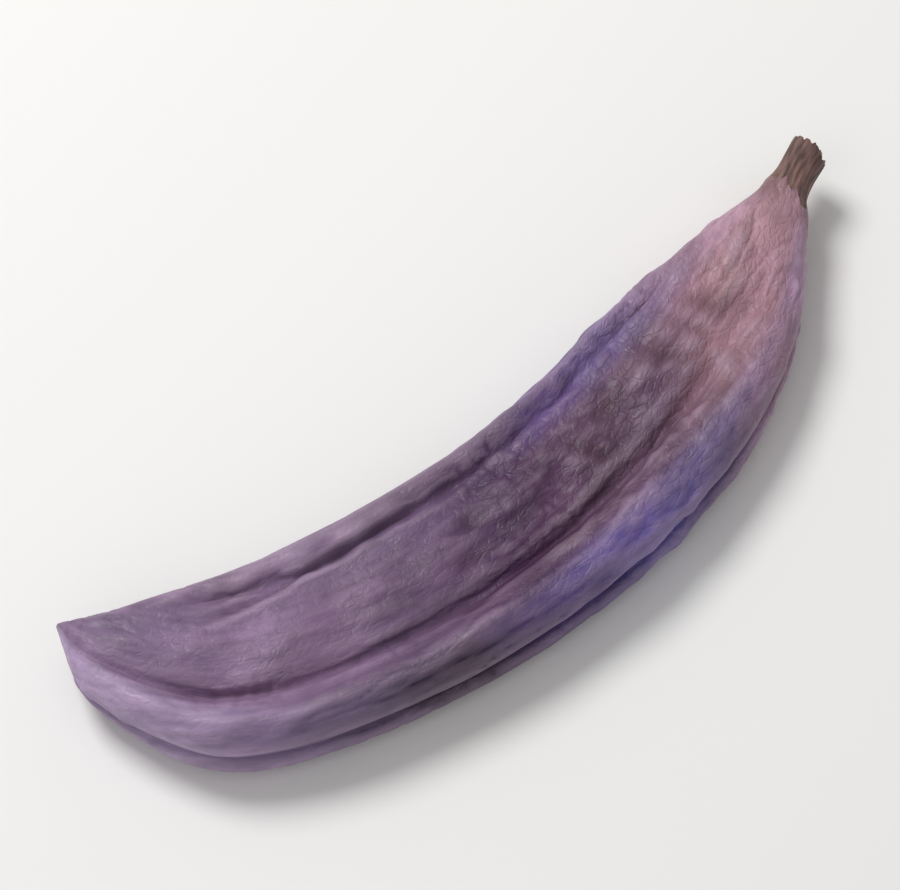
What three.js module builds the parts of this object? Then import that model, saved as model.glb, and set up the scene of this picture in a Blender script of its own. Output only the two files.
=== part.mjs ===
// A ripe, dry carob pod lying on its flat side: one sabre-shaped, leathery body with a double ridge along
// each seam, a groove inside each ridge, low swellings over the seeds and a short stump of stalk.
// Millimetres, +Z up. X runs along the pod towards the stalk, Y across it towards the hollow edge.

import * as THREE from 'three';
import { mergeVertices } from 'three/addons/utils/BufferGeometryUtils.js';

const { lerp, smoothstep } = THREE.MathUtils;

// Plan of the bulging seam and of the hollow seam, each from the tip to the end of the stalk
const OUTER_SEAM = [
  [-50, 0], [-51.5, -10], [-43.5, -24], [-27, -30], [-3, -31.5],
  [20, -27.5], [38, -18], [48, -7], [51.5, -2], [56, 0.5],
];
const INNER_SEAM = [
  [-50, 0], [-33, -5], [-14, -7], [6, -6], [24, -1.5], [40, 1.5], [49, 2.5], [54.5, 5],
];

// Thickness of the pod over its outer ridges, and of the stalk
const POD_THICKNESS = 10;
const STALK_THICKNESS = 4.5;

// Shares of the pod's length: where the tip has swelled to full thickness, where its ridges have formed and
// where they start to fade, and where the neck starts and ends
const TIP_FULL = 0.14;
const RIDGES_FORMED = 0.2;
const RIDGES_FADE = 0.64;
const NECK_START = 0.85;
const NECK_END = 0.95;

// Height of the mid-plane above the surface. It is a little under half the thickness, so that the lowest
// crests are worn to small flats, and the two ends curl up clear of the surface.
const REST_HEIGHT = 4.8;
const TIP_LIFT = 0.8;
const STALK_LIFT = 1.6;
const LEVEL_FROM = 0.25;
const LEVEL_TO = 0.7;

// Cross-section, once round from the inner seam: across as a share of half the width, +1 at the inner
// seam, and height as a share of half the thickness
const SECTION = [
  // Upper side: inner furrow and ridge, groove, flat side, groove, outer ridge
  [0.90, 0.00], [0.99, 0.38], [0.91, 0.78], [0.80, 0.76],
  [0.70, 0.57],
  [0.57, 0.68], [0.20, 0.80], [-0.16, 0.74],
  [-0.33, 0.53],
  [-0.46, 0.81], [-0.66, 1.00], [-0.87, 0.80], [-0.98, 0.38],
  // Lower side: outer furrow and ridge, groove, flat side, groove, inner ridge
  [-0.89, -0.06], [-1.00, -0.42], [-0.88, -0.82], [-0.68, -1.00], [-0.48, -0.82],
  [-0.35, -0.54],
  [-0.18, -0.73], [0.18, -0.78], [0.52, -0.68],
  [0.65, -0.52],
  [0.76, -0.84], [0.88, -0.98], [1.00, -0.45],
];

// How far the grooves bow towards the outer seam in the tip half of the pod and back in its stalk half, as a
// share of half the width, and how many such waves the length holds
const GROOVE_SWAY = -0.16;
const SWAY_WAVES = 0.9;

// Relief of the flat sides: swellings over the row of seeds, centred a little off the middle of the width
const SEED_COUNT = 12;
const SEED_SWELL = 0.3;
const SEED_MIDDLE = 0.16;
const SEED_SPREAD = 0.3;

// Relief of the whole skin: crossing ripples left by drying, with headings in radians from X
const RIPPLES = [
  { length: 19, heading: 0.3, height: 0.14 },
  { length: 12, heading: -0.8, height: 0.12 },
  { length: 7.5, heading: 1.9, height: 0.1 },
];

// Fineness of the skin's grid
const ROWS = 76;
const AROUND = 52;

const POD_BROWN = 0x745f76;

// A smooth curve through a seam's plan points
function seamCurve(points) {
  return new THREE.SplineCurve(points.map(([x, y]) => new THREE.Vector2(x, y)));
}

const outerSeam = seamCurve(OUTER_SEAM);
const innerSeam = seamCurve(INNER_SEAM);

// How far the section has turned into the round stalk, from 0 on the pod to 1 on the stalk
function neckShare(along) {
  return smoothstep(along, NECK_START, NECK_END);
}

// The closed section at a share of the length, ridged on the pod and round at the tip and on the stalk
function sectionCurve(along) {
  const round = Math.max(smoothstep(along, RIDGES_FADE, NECK_END), 1 - smoothstep(along, 0, RIDGES_FORMED));
  const points = SECTION.map(([across, height], index) => {
    const turn = 2 * Math.PI * index / SECTION.length;
    return new THREE.Vector3(lerp(across, Math.cos(turn), round), lerp(height, Math.sin(turn), round), 0);
  });
  return new THREE.CatmullRomCurve3(points, true, 'catmullrom', 0.5);
}

// How full the pod is, in a rounded rise from 0 at the tip to 1
function tipRise(along) {
  const toFull = 1 - Math.min(along / TIP_FULL, 1);
  return Math.sqrt(1 - toFull ** 2);
}

// Half the thickness at a share of the length
function halfThickness(along) {
  return lerp(POD_THICKNESS * tipRise(along), STALK_THICKNESS, neckShare(along)) / 2;
}

// How far the curl of the two ends lifts the mid-plane
function curl(along) {
  const tip = Math.max(1 - along / LEVEL_FROM, 0);
  const stalk = Math.max((along - LEVEL_TO) / (1 - LEVEL_TO), 0);
  return TIP_LIFT * tip ** 2 + STALK_LIFT * stalk ** 2;
}

// Height of the relief at a place on the upper side, +1, or the lower side, -1
function relief(along, across, plan, side) {
  const overSeeds = Math.exp(-(((across - SEED_MIDDLE) / SEED_SPREAD) ** 2));
  let height = SEED_SWELL * overSeeds * Math.cos(2 * Math.PI * SEED_COUNT * along);
  for (const ripple of RIPPLES) {
    const distance = plan.x * Math.cos(ripple.heading) + plan.y * Math.sin(ripple.heading);
    height += ripple.height * Math.sin(2 * Math.PI * distance / ripple.length + side);
  }
  return height * tipRise(along) * (1 - neckShare(along));
}

// A place on the skin: a share of the length, a share of the way round, and how open the section is
function skinPoint(along, turn, open) {
  const section = sectionCurve(along).getPoint(turn).multiplyScalar(open);
  const sway = GROOVE_SWAY * Math.sin(2 * Math.PI * SWAY_WAVES * along) * section.y;
  const across = section.x + sway * (1 - section.x ** 2);
  const height = section.y;
  const outer = outerSeam.getPointAt(along);
  const inner = innerSeam.getPointAt(along);
  const plan = outer.lerp(inner, (1 + across) / 2);
  const thickness = halfThickness(along) + relief(along, across, plan, Math.sign(height));
  const z = REST_HEIGHT + curl(along) + height * thickness;
  return new THREE.Vector3(plan.x, plan.y, Math.max(z, 0));
}

// The whole skin: a ball's grid of rows and columns, with every vertex moved to its place on the pod
function podGeometry() {
  const ball = new THREE.SphereGeometry(1, AROUND, ROWS);
  const grid = ball.getAttribute('uv');
  const place = ball.getAttribute('position');
  for (let index = 0; index < place.count; index += 1) {
    const row = Math.round((1 - grid.getY(index)) * ROWS);
    const along = Math.min(row / (ROWS - 1), 1);
    const open = row < ROWS ? 1 : 0;
    const point = skinPoint(along, 1 - grid.getX(index), open);
    place.setXYZ(index, point.x, point.y, point.z);
  }
  ball.deleteAttribute('normal');
  ball.deleteAttribute('uv');
  const skin = mergeVertices(ball);
  skin.computeBoundingBox();
  const middle = skin.boundingBox.getCenter(new THREE.Vector3());
  skin.translate(-middle.x, -middle.y, 0);
  skin.computeVertexNormals();
  return skin;
}

const pod = new THREE.Mesh(
  podGeometry(),
  new THREE.MeshStandardMaterial({ color: POD_BROWN, roughness: 0.6, metalness: 0 }),
);
pod.name = 'carob_pod';

const carobPod = new THREE.Group();
carobPod.add(pod);

export default carobPod;
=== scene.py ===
"""A ripe, dry carob pod lying on its flat side, dressed for a plain studio picture.

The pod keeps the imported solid's form: its seams, section and relief are laid out again on a finer grid, with
lower swellings over the seeds near the tip. The creases, puckers, wrinkles, dents and bumps of dried skin,
and the collar, fibres and torn end of the stalk, are then shaped as real geometry.
"""

import logging
import math
from dataclasses import dataclass
from enum import Enum

import bpy
import numpy as np
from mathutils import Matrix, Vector, noise


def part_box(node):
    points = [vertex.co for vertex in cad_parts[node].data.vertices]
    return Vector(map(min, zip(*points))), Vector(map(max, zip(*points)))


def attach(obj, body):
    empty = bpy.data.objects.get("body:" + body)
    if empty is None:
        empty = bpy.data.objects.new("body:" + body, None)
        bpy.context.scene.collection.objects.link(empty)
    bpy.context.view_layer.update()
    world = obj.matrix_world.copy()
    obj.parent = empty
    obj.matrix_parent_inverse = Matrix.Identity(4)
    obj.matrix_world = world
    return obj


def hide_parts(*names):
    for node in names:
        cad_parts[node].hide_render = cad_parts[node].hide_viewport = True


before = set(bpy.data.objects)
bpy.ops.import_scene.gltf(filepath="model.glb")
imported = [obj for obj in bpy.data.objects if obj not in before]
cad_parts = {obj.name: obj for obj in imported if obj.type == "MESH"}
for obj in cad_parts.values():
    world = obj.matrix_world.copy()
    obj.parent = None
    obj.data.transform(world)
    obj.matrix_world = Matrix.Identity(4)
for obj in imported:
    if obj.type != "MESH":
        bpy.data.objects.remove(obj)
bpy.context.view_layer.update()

LOG = logging.getLogger("carob_pod")
MM = 0.001
NODE = "carob_pod"
BODY = "root"
PICTURE_SIZE = (900, 890)

# Least length that is divided by, so that a row that closes to a point gives no error
LEAST_LENGTH = 1e-9

# Sockets of a colour Mix node, which shares its names among several kinds of value
MIX_FACTOR = 0
MIX_A = 6
MIX_B = 7
MIX_RESULT = 2

# Usual low and high values of a noise texture, and how many finer noises it holds
NOISE_LOW = 0.35
NOISE_HIGH = 0.65
SOFT = 2
UNEVEN = 3
RAGGED = 7


class Side(Enum):
    """Flat side of the pod, by the sign of its height."""

    UPPER = 1
    LOWER = -1


class SectionPoint(Enum):
    """Points of the section that lines follow along the pod, numbered as in the section's list."""

    INNER_FURROW = 0
    INNER_CREST = 3
    INNER_GROOVE = 4
    OUTER_GROOVE = 8
    OUTER_FURROW = 13
    LOWER_OUTER_GROOVE = 18
    LOWER_INNER_GROOVE = 22


class Mark(Enum):
    """Values that the skin's mesh carries for its finishes."""

    PLACE = "straight_place"
    # Concavity and dent depth, which darken the skin's colour as painted shade
    CREASE = "crease_depth"
    # Convexity, which lightens the crests' colour, partly as wear and partly as painted highlight
    CREST = "crest_height"
    DIP = "dip_depth"
    # Share of the ridges' violet tint, which also carries painted highlights, painted sheen and painted shade
    BLOOM = "ridge_tint_and_painted_light_share"


class Zone(Enum):
    """Parts of the skin that have a finish of their own, numbered as the mesh's materials are."""

    POD = 0
    STALK = 1
    TORN_END = 2


def linear(hex_colour: str) -> tuple[float, float, float, float]:
    """Turn an sRGB hex colour to linear light.

    Args:
        hex_colour: colour as "#rrggbb".

    Returns:
        Linear red, green and blue, with full alpha.
    """
    shares = [int(hex_colour[i:i + 2], 16) / 255 for i in (1, 3, 5)]
    light = [s / 12.92 if s <= 0.04045 else ((s + 0.055) / 1.055) ** 2.4 for s in shares]
    return (*light, 1.0)


def add_node(
    tree: bpy.types.NodeTree,
    kind: str,
    settings: dict | None = None,
    inputs: dict | None = None,
    stops: tuple[tuple[float, str], ...] = (),
) -> bpy.types.Node:
    """Add one node with its settings and links.

    Args:
        tree: node tree that gets the node.
        kind: Blender's type name of the node.
        settings: values for the node's own properties.
        inputs: for each input socket, a value or the output socket that feeds it.
        stops: for a colour ramp, its places and hex colours.

    Returns:
        The new node.
    """
    node = tree.nodes.new(kind)
    for name, value in (settings or {}).items():
        setattr(node, name, value)
    for socket, value in (inputs or {}).items():
        if isinstance(value, bpy.types.NodeSocket):
            tree.links.new(value, node.inputs[socket])
        else:
            node.inputs[socket].default_value = value
    for number, (place, colour) in enumerate(stops):
        ramp = node.color_ramp.elements
        stop = ramp[number] if number < len(ramp) else ramp.new(place)
        stop.position = place
        stop.color = linear(colour)
    return node


def new_material(name: str) -> tuple[bpy.types.Material, bpy.types.NodeTree, bpy.types.Node]:
    """Start a material.

    Args:
        name: name of the material.

    Returns:
        The material, its node tree and its shader.
    """
    material = bpy.data.materials.new(name)
    material.use_nodes = True
    return material, material.node_tree, material.node_tree.nodes["Principled BSDF"]


def smoothstep(values: np.ndarray, low: float, high: float) -> np.ndarray:
    """Ease from 0 at low to 1 at high."""
    share = np.clip((values - low) / (high - low), 0, 1)
    return share * share * (3 - 2 * share)


def noise_field(places: np.ndarray, length: float, breadth: float, shift: float) -> np.ndarray:
    """Smooth noise over straightened places.

    Args:
        places: straightened places in millimetres, with the length first.
        length: size of a blob along the pod.
        breadth: size of a blob across the pod and through it.
        shift: how far the pattern is moved, so that no two fields are alike.

    Returns:
        A value of about -1 to 1 for each place.
    """
    scaled = places.reshape(-1, 3) / (length, breadth, breadth) + shift
    values = np.fromiter((noise.noise(place) for place in scaled.tolist()), float, len(scaled))
    return values.reshape(places.shape[:-1])


def spline_blend(shares: np.ndarray, count: int, closed: bool) -> tuple[np.ndarray, np.ndarray]:
    """Find what a smooth curve through a list of points blends at each place.

    Args:
        shares: places on the curve, from 0 at its start to 1 at its end.
        count: number of points in the list.
        closed: whether the curve returns to its first point.

    Returns:
        Numbers of the four points that each place blends, and their weights.
    """
    spans = count if closed else count - 1
    first = np.minimum((shares * spans).astype(int), spans - 1)
    w = shares * spans - first
    numbers = first[:, None] + np.arange(-1, 3)
    numbers = numbers % count if closed else np.clip(numbers, 0, count - 1)
    weights = np.stack([
        -0.5 * w + w ** 2 - 0.5 * w ** 3,
        1 - 2.5 * w ** 2 + 1.5 * w ** 3,
        0.5 * w + 2 * w ** 2 - 1.5 * w ** 3,
        -0.5 * w ** 2 + 0.5 * w ** 3,
    ], axis=1)
    return numbers, weights


def spline_points(points: np.ndarray, shares: np.ndarray, closed: bool) -> np.ndarray:
    """Places on a smooth curve through points, at shares of its list."""
    numbers, weights = spline_blend(shares, len(points), closed)
    return np.einsum("nk,nkd->nd", weights, points[numbers])


def path_lengths(points: np.ndarray) -> np.ndarray:
    """Distance along a line of points, from 0 at its first."""
    steps = np.linalg.norm(np.diff(points, axis=0), axis=1)
    return np.concatenate([[0.0], np.cumsum(steps)])


@dataclass(frozen=True)
class Rise:
    """Stretch of the pod's length over which something grows from nothing to full."""

    start: float
    full: float

    def share(self, along: np.ndarray) -> np.ndarray:
        """How far it has grown at shares of the length."""
        return smoothstep(along, self.start, self.full)


@dataclass(frozen=True)
class Seam:
    """Plan of one seam in millimetres, from the tip to the end of the stalk."""

    points: tuple[tuple[float, float], ...]
    fineness: int = 2000

    def fine_line(self) -> tuple[np.ndarray, np.ndarray]:
        """Follow the seam in small steps.

        Returns:
            Closely spaced shares of the point list, and the distance along the seam at each.
        """
        shares = np.linspace(0, 1, self.fineness)
        line = spline_points(np.array(self.points), shares, closed=False)
        return shares, path_lengths(line)

    def length(self) -> float:
        """Length of the seam."""
        return float(self.fine_line()[1][-1])

    def places(self, along: np.ndarray) -> np.ndarray:
        """Find places on the seam.

        Args:
            along: shares of the seam's length.

        Returns:
            The place at each share, seen from above.
        """
        shares, distance = self.fine_line()
        even = np.interp(along * distance[-1], distance, shares)
        return spline_points(np.array(self.points), even, closed=False)


@dataclass(frozen=True)
class Ripple:
    """One of the long waves that drying left in the whole skin, in millimetres and radians from X."""

    length: float
    heading: float
    height: float


@dataclass(frozen=True)
class SkinGrid:
    """Grid of skin places by row, from the tip, and column.

    It holds shares of the length and of half the width, how open each row is, the distance of each column
    round a full section, the places in the frame, the same places on a straightened pod, and the heights as
    shares of half the thickness.
    """

    along: np.ndarray
    across: np.ndarray
    open: np.ndarray
    round_mm: np.ndarray
    place: np.ndarray
    straight: np.ndarray
    height: np.ndarray

    def line(self) -> np.ndarray:
        """Straightened places moved to the pod's middle line, for what changes along it alone."""
        return self.straight * (1, 0, 0)


@dataclass(frozen=True)
class PodForm:
    """Main form of the pod in millimetres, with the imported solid's own sizes."""

    # Plan of the bulging seam and of the hollow seam
    outer_seam: Seam = Seam((
        (-50, 0), (-51.5, -10), (-43.5, -24), (-27, -30), (-3, -31.5),
        (20, -27.5), (38, -18), (48, -7), (51.5, -2), (56, 0.5),
    ))
    inner_seam: Seam = Seam((
        (-50, 0), (-33, -5), (-14, -7), (6, -6), (24, -1.5), (40, 1.5), (49, 2.5), (54.5, 5),
    ))

    # Section, once round from the inner seam: across as a share of half the width, and height as a share of
    # half the thickness
    section: tuple[tuple[float, float], ...] = (
        # Upper side: inner furrow and ridge, groove, flat side, groove, outer ridge
        (0.90, 0.00), (0.99, 0.38), (0.91, 0.78), (0.80, 0.76),
        (0.70, 0.57),
        (0.57, 0.68), (0.20, 0.80), (-0.16, 0.74),
        (-0.33, 0.53),
        (-0.46, 0.81), (-0.66, 1.00), (-0.87, 0.80), (-0.98, 0.38),
        # Lower side: outer furrow and ridge, groove, flat side, groove, inner ridge
        (-0.89, -0.06), (-1.00, -0.42), (-0.88, -0.82), (-0.68, -1.00), (-0.48, -0.82),
        (-0.35, -0.54),
        (-0.18, -0.73), (0.18, -0.78), (0.52, -0.68),
        (0.65, -0.52),
        (0.76, -0.84), (0.88, -0.98), (1.00, -0.45),
    )

    # Places that a full section is followed in, a hundred steps to each of its points
    section_fineness: int = 2601

    # Sizes of the full section and of the stalk
    half_width: float = 12.5
    pod_thickness: float = 10.0
    stalk_thickness: float = 4.5

    # Shares of the length over which the tip swells, the ridges form and fade, and the neck draws in
    tip_full: float = 0.14
    ridging: Rise = Rise(0, 0.2)
    rounding: Rise = Rise(0.64, 0.95)
    neck: Rise = Rise(0.85, 0.95)

    # Height of the mid-plane above the surface, and how the two ends curl up clear of it
    rest_height: float = 4.8
    tip_lift: float = 0.8
    stalk_lift: float = 1.6
    level_from: float = 0.25
    level_to: float = 0.7

    # How far the grooves bow aside, as a share of half the width, and how many such waves the length holds
    groove_sway: float = -0.16
    sway_waves: float = 0.9

    # Where the grid's columns crowd together, so that the creases there come out sharp
    grooves: tuple[SectionPoint, ...] = (
        SectionPoint.INNER_FURROW, SectionPoint.INNER_GROOVE, SectionPoint.OUTER_GROOVE,
        SectionPoint.OUTER_FURROW, SectionPoint.LOWER_OUTER_GROOVE, SectionPoint.LOWER_INNER_GROOVE,
    )
    groove_crowding: float = 1.5
    groove_reach: float = 1.2

    # Swellings over the row of seeds, which are lower near the tip, and long ripples of the whole skin
    seed_count: int = 12
    seed_swell: float = 0.3
    seed_middle: float = 0.16
    seed_spread: float = 0.3
    seeds_show: Rise = Rise(0.4, 0.6)
    seeds_near_tip: float = 0.4
    ripples: tuple[Ripple, ...] = (Ripple(19, 0.3, 0.14), Ripple(12, -0.8, 0.12), Ripple(7.5, 1.9, 0.1))

    def length(self) -> float:
        """Length of the pod along its middle, stalk included."""
        return (self.outer_seam.length() + self.inner_seam.length()) / 2

    def tip_rise(self, along: np.ndarray) -> np.ndarray:
        """How full the pod is, in a rounded rise from 0 at the tip to 1."""
        to_full = 1 - np.minimum(along / self.tip_full, 1)
        return np.sqrt(1 - to_full ** 2)

    def half_thickness(self, along: np.ndarray) -> np.ndarray:
        """Half the thickness at shares of the length."""
        neck = self.neck.share(along)
        return (self.pod_thickness * self.tip_rise(along) * (1 - neck) + self.stalk_thickness * neck) / 2

    def curl(self, along: np.ndarray) -> np.ndarray:
        """Find how far the curl of the two ends lifts the mid-plane.

        Args:
            along: shares of the length.

        Returns:
            The lift at each share.
        """
        tip = np.maximum(1 - along / self.level_from, 0)
        stalk = np.maximum((along - self.level_to) / (1 - self.level_to), 0)
        return self.tip_lift * tip ** 2 + self.stalk_lift * stalk ** 2

    def section_lengths(self) -> tuple[np.ndarray, np.ndarray]:
        """Follow a full section once round in small steps.

        Returns:
            Shares of the section's list of points, and the distance round the section at each.
        """
        shares = np.linspace(0, 1, self.section_fineness)
        full = np.array(self.section) * (self.half_width, self.pod_thickness / 2)
        return shares, path_lengths(spline_points(full, shares, closed=True))

    def round_place(self, point: SectionPoint) -> float:
        """Distance round a full section to one of its points."""
        shares, distance = self.section_lengths()
        return float(np.interp(point.value / len(self.section), shares, distance))

    def round_gap(self, round_mm: np.ndarray, point: SectionPoint) -> np.ndarray:
        """Distance round a full section from one of its points, the shorter way."""
        girth = self.section_lengths()[1][-1]
        return (round_mm - self.round_place(point) + girth / 2) % girth - girth / 2

    def column_places(self, columns: int) -> np.ndarray:
        """Share columns out round the section, closer together at the grooves.

        Args:
            columns: number of columns.

        Returns:
            The distance of each column round a full section.
        """
        distance = np.linspace(0, self.section_lengths()[1][-1], self.section_fineness)
        crowd = np.ones(len(distance))
        for groove in self.grooves:
            gap = self.round_gap(distance, groove)
            crowd = crowd + self.groove_crowding * np.exp(-(gap / self.groove_reach) ** 2)
        filled = np.concatenate([[0.0], np.cumsum(crowd[1:])])
        return np.interp(np.arange(columns) / columns * filled[-1], filled, distance)

    def relief(self, along: np.ndarray, across: np.ndarray, plan: np.ndarray, side: np.ndarray) -> np.ndarray:
        """Height of the seed swellings, which are lower near the tip, and of the long ripples.

        Args:
            along: shares of the length.
            across: shares of half the width, +1 at the inner seam.
            plan: places seen from above.
            side: +1 on the upper side and -1 on the lower side.

        Returns:
            Height in millimetres at each place.
        """
        shown = self.seeds_near_tip + (1 - self.seeds_near_tip) * self.seeds_show.share(along)
        over_seeds = shown * np.exp(-(((across - self.seed_middle) / self.seed_spread) ** 2))
        height = self.seed_swell * over_seeds * np.cos(2 * np.pi * self.seed_count * along)
        for ripple in self.ripples:
            distance = plan[..., 0] * math.cos(ripple.heading) + plan[..., 1] * math.sin(ripple.heading)
            height = height + ripple.height * np.sin(2 * np.pi * distance / ripple.length + side)
        return height * self.tip_rise(along) * (1 - self.neck.share(along))

    def grid(self, along: np.ndarray, opening: np.ndarray, columns: int) -> SkinGrid:
        """Lay the skin out on a grid.

        Args:
            along: share of the length of each row.
            opening: how open the section is at each row, from 1 to 0 where it closes.
            columns: number of places round the section.

        Returns:
            The grid, with its heights above the surface that the pod lies on.
        """
        shares, distance = self.section_lengths()
        round_mm = self.column_places(columns)
        numbers, weights = spline_blend(np.interp(round_mm, distance, shares), len(self.section), True)
        turn = 2 * np.pi * np.arange(len(self.section)) / len(self.section)
        circle = np.stack([np.cos(turn), np.sin(turn)], axis=1)
        rounded = np.maximum(self.rounding.share(along), 1 - self.ridging.share(along))
        corners = np.array(self.section) + rounded[:, None, None] * (circle - np.array(self.section))
        skin = np.einsum("ck,rckd->rcd", weights, corners[:, numbers]) * opening[:, None, None]

        height = skin[..., 1]
        sway = self.groove_sway * np.sin(2 * np.pi * self.sway_waves * along)[:, None] * height
        across = skin[..., 0] + sway * (1 - skin[..., 0] ** 2)
        outer = self.outer_seam.places(along)[:, None]
        inner = self.inner_seam.places(along)[:, None]
        plan = outer + (inner - outer) * (1 + across[..., None]) / 2
        by_row = np.broadcast_to(along[:, None], height.shape)
        thick = self.half_thickness(by_row) + self.relief(by_row, across, plan, np.sign(height))
        z = self.rest_height + self.curl(by_row) + height * thick
        half_width = np.linalg.norm(inner - outer, axis=-1) / 2
        straight = np.stack(
            [by_row * self.length(), across * half_width, height * self.half_thickness(by_row)], axis=-1
        )
        place = np.concatenate([plan, z[..., None]], axis=-1)
        return SkinGrid(by_row, across, opening, round_mm, place, straight, height)


@dataclass(frozen=True)
class Crease:
    """A line sunk along the pod at one point of the section, in millimetres and shares of the length.

    It is a sharp crease at a roundness of 1 and a soft one at 2. A depth below 0 fills a groove of the form,
    or raises beads along a crest where it is uneven.
    """

    point: SectionPoint
    depth: float
    breadth: float
    start: float
    end: float
    rise: float = 0.06
    fall: float = 0.1
    roundness: float = 1.0

    # How far the line strays from its point, and how far it leans aside near the tip
    wander: float = 0.6
    wander_length: float = 9.0
    wander_shift: float = 0.5
    lean: float = 0.0
    lean_ends: Rise = Rise(0.16, 0.3)

    # Swollen lips beside the line, and how its depth changes along it
    lip: float = 0.2
    lip_at: float = 1.2
    lip_breadth: float = 0.6
    evenness: float = 0.8
    unevenness: float = 0.5
    uneven_length: float = 6.0
    uneven_shift: float = 7.5

    def gap(self, grid: SkinGrid, form: PodForm) -> np.ndarray:
        """Measure how far places are from the line, which wanders and leans aside near the tip.

        Args:
            grid: the skin.
            form: the pod.

        Returns:
            Distance round the section at each place of the grid.
        """
        shift = self.point.value + self.wander_shift
        drift = self.wander * noise_field(grid.line(), self.wander_length, 1, shift)
        drift = drift + self.lean * (1 - self.lean_ends.share(grid.along))
        return np.abs(form.round_gap(grid.round_mm, self.point) - drift)

    def height(self, grid: SkinGrid, form: PodForm) -> np.ndarray:
        """Shape the line and the swollen lips beside it.

        Args:
            grid: the skin.
            form: the pod.

        Returns:
            Height at each place of the grid, below 0 where it is sunk.
        """
        ends = smoothstep(grid.along, self.start, self.start + self.rise)
        ends = ends * (1 - smoothstep(grid.along, self.end - self.fall, self.end))
        shift = self.point.value + self.uneven_shift
        along_line = noise_field(grid.line(), self.uneven_length, 1, shift)
        depth = self.depth * (self.evenness + self.unevenness * along_line)
        gap = self.gap(grid, form)
        lips = self.lip * np.exp(-((gap - self.lip_at) / self.lip_breadth) ** 2)
        return ends * (lips - depth * np.exp(-(gap / self.breadth) ** self.roundness))


@dataclass(frozen=True)
class Wrinkle:
    """A set of fine sunken lines, in millimetres."""

    length: float
    breadth: float
    depth: float
    sharpness: float
    shift: float

    def height(self, places: np.ndarray) -> np.ndarray:
        """Height of the lines, below 0, over straightened places."""
        edge = 1 - np.abs(noise_field(places, self.length, self.breadth, self.shift))
        return -self.depth * np.clip(edge, 0, 1) ** self.sharpness


@dataclass(frozen=True)
class Lump:
    """A field of low rounded bumps and dips, in millimetres."""

    length: float
    breadth: float
    size: float
    shift: float

    def height(self, places: np.ndarray) -> np.ndarray:
        """Height of the bumps over straightened places."""
        return self.size * noise_field(places, self.length, self.breadth, self.shift)


@dataclass(frozen=True)
class Dent:
    """A shallow dip in a flat side: its place as shares, its size in millimetres, its turn in degrees.

    A depth below 0 makes it a low bump.
    """

    side: Side
    along: float
    across: float
    length: float
    breadth: float
    depth: float
    turn: float = 0.0

    # How far noise moves the outline along the pod, the share of that across it, and the noise's size
    ragged: float = 0.7
    ragged_across: float = 0.5
    ragged_length: float = 4.0
    ragged_breadth: float = 3.0
    ragged_shift: float = 50.0

    # Heights on its side, as shares of half the thickness, between which the dent comes in
    side_edge: tuple[float, float] = (0.1, 0.4)

    def height(self, grid: SkinGrid, form: PodForm) -> np.ndarray:
        """Shape the dip, with a ragged outline.

        Args:
            grid: the skin.
            form: the pod.

        Returns:
            Height at each place of the grid, below 0 in a dip.
        """
        shift = self.along * self.ragged_shift
        ragged = self.ragged * noise_field(grid.straight, self.ragged_length, self.ragged_breadth, shift)
        x = grid.straight[..., 0] - self.along * form.length() + ragged
        y = grid.straight[..., 1] - self.across * form.half_width + self.ragged_across * ragged
        cos, sin = math.cos(math.radians(self.turn)), math.sin(math.radians(self.turn))
        reach = ((x * cos + y * sin) / self.length) ** 2 + ((y * cos - x * sin) / self.breadth) ** 2
        on_side = smoothstep(grid.height * self.side.value, *self.side_edge)
        return -self.depth * on_side * np.exp(-reach)


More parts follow.
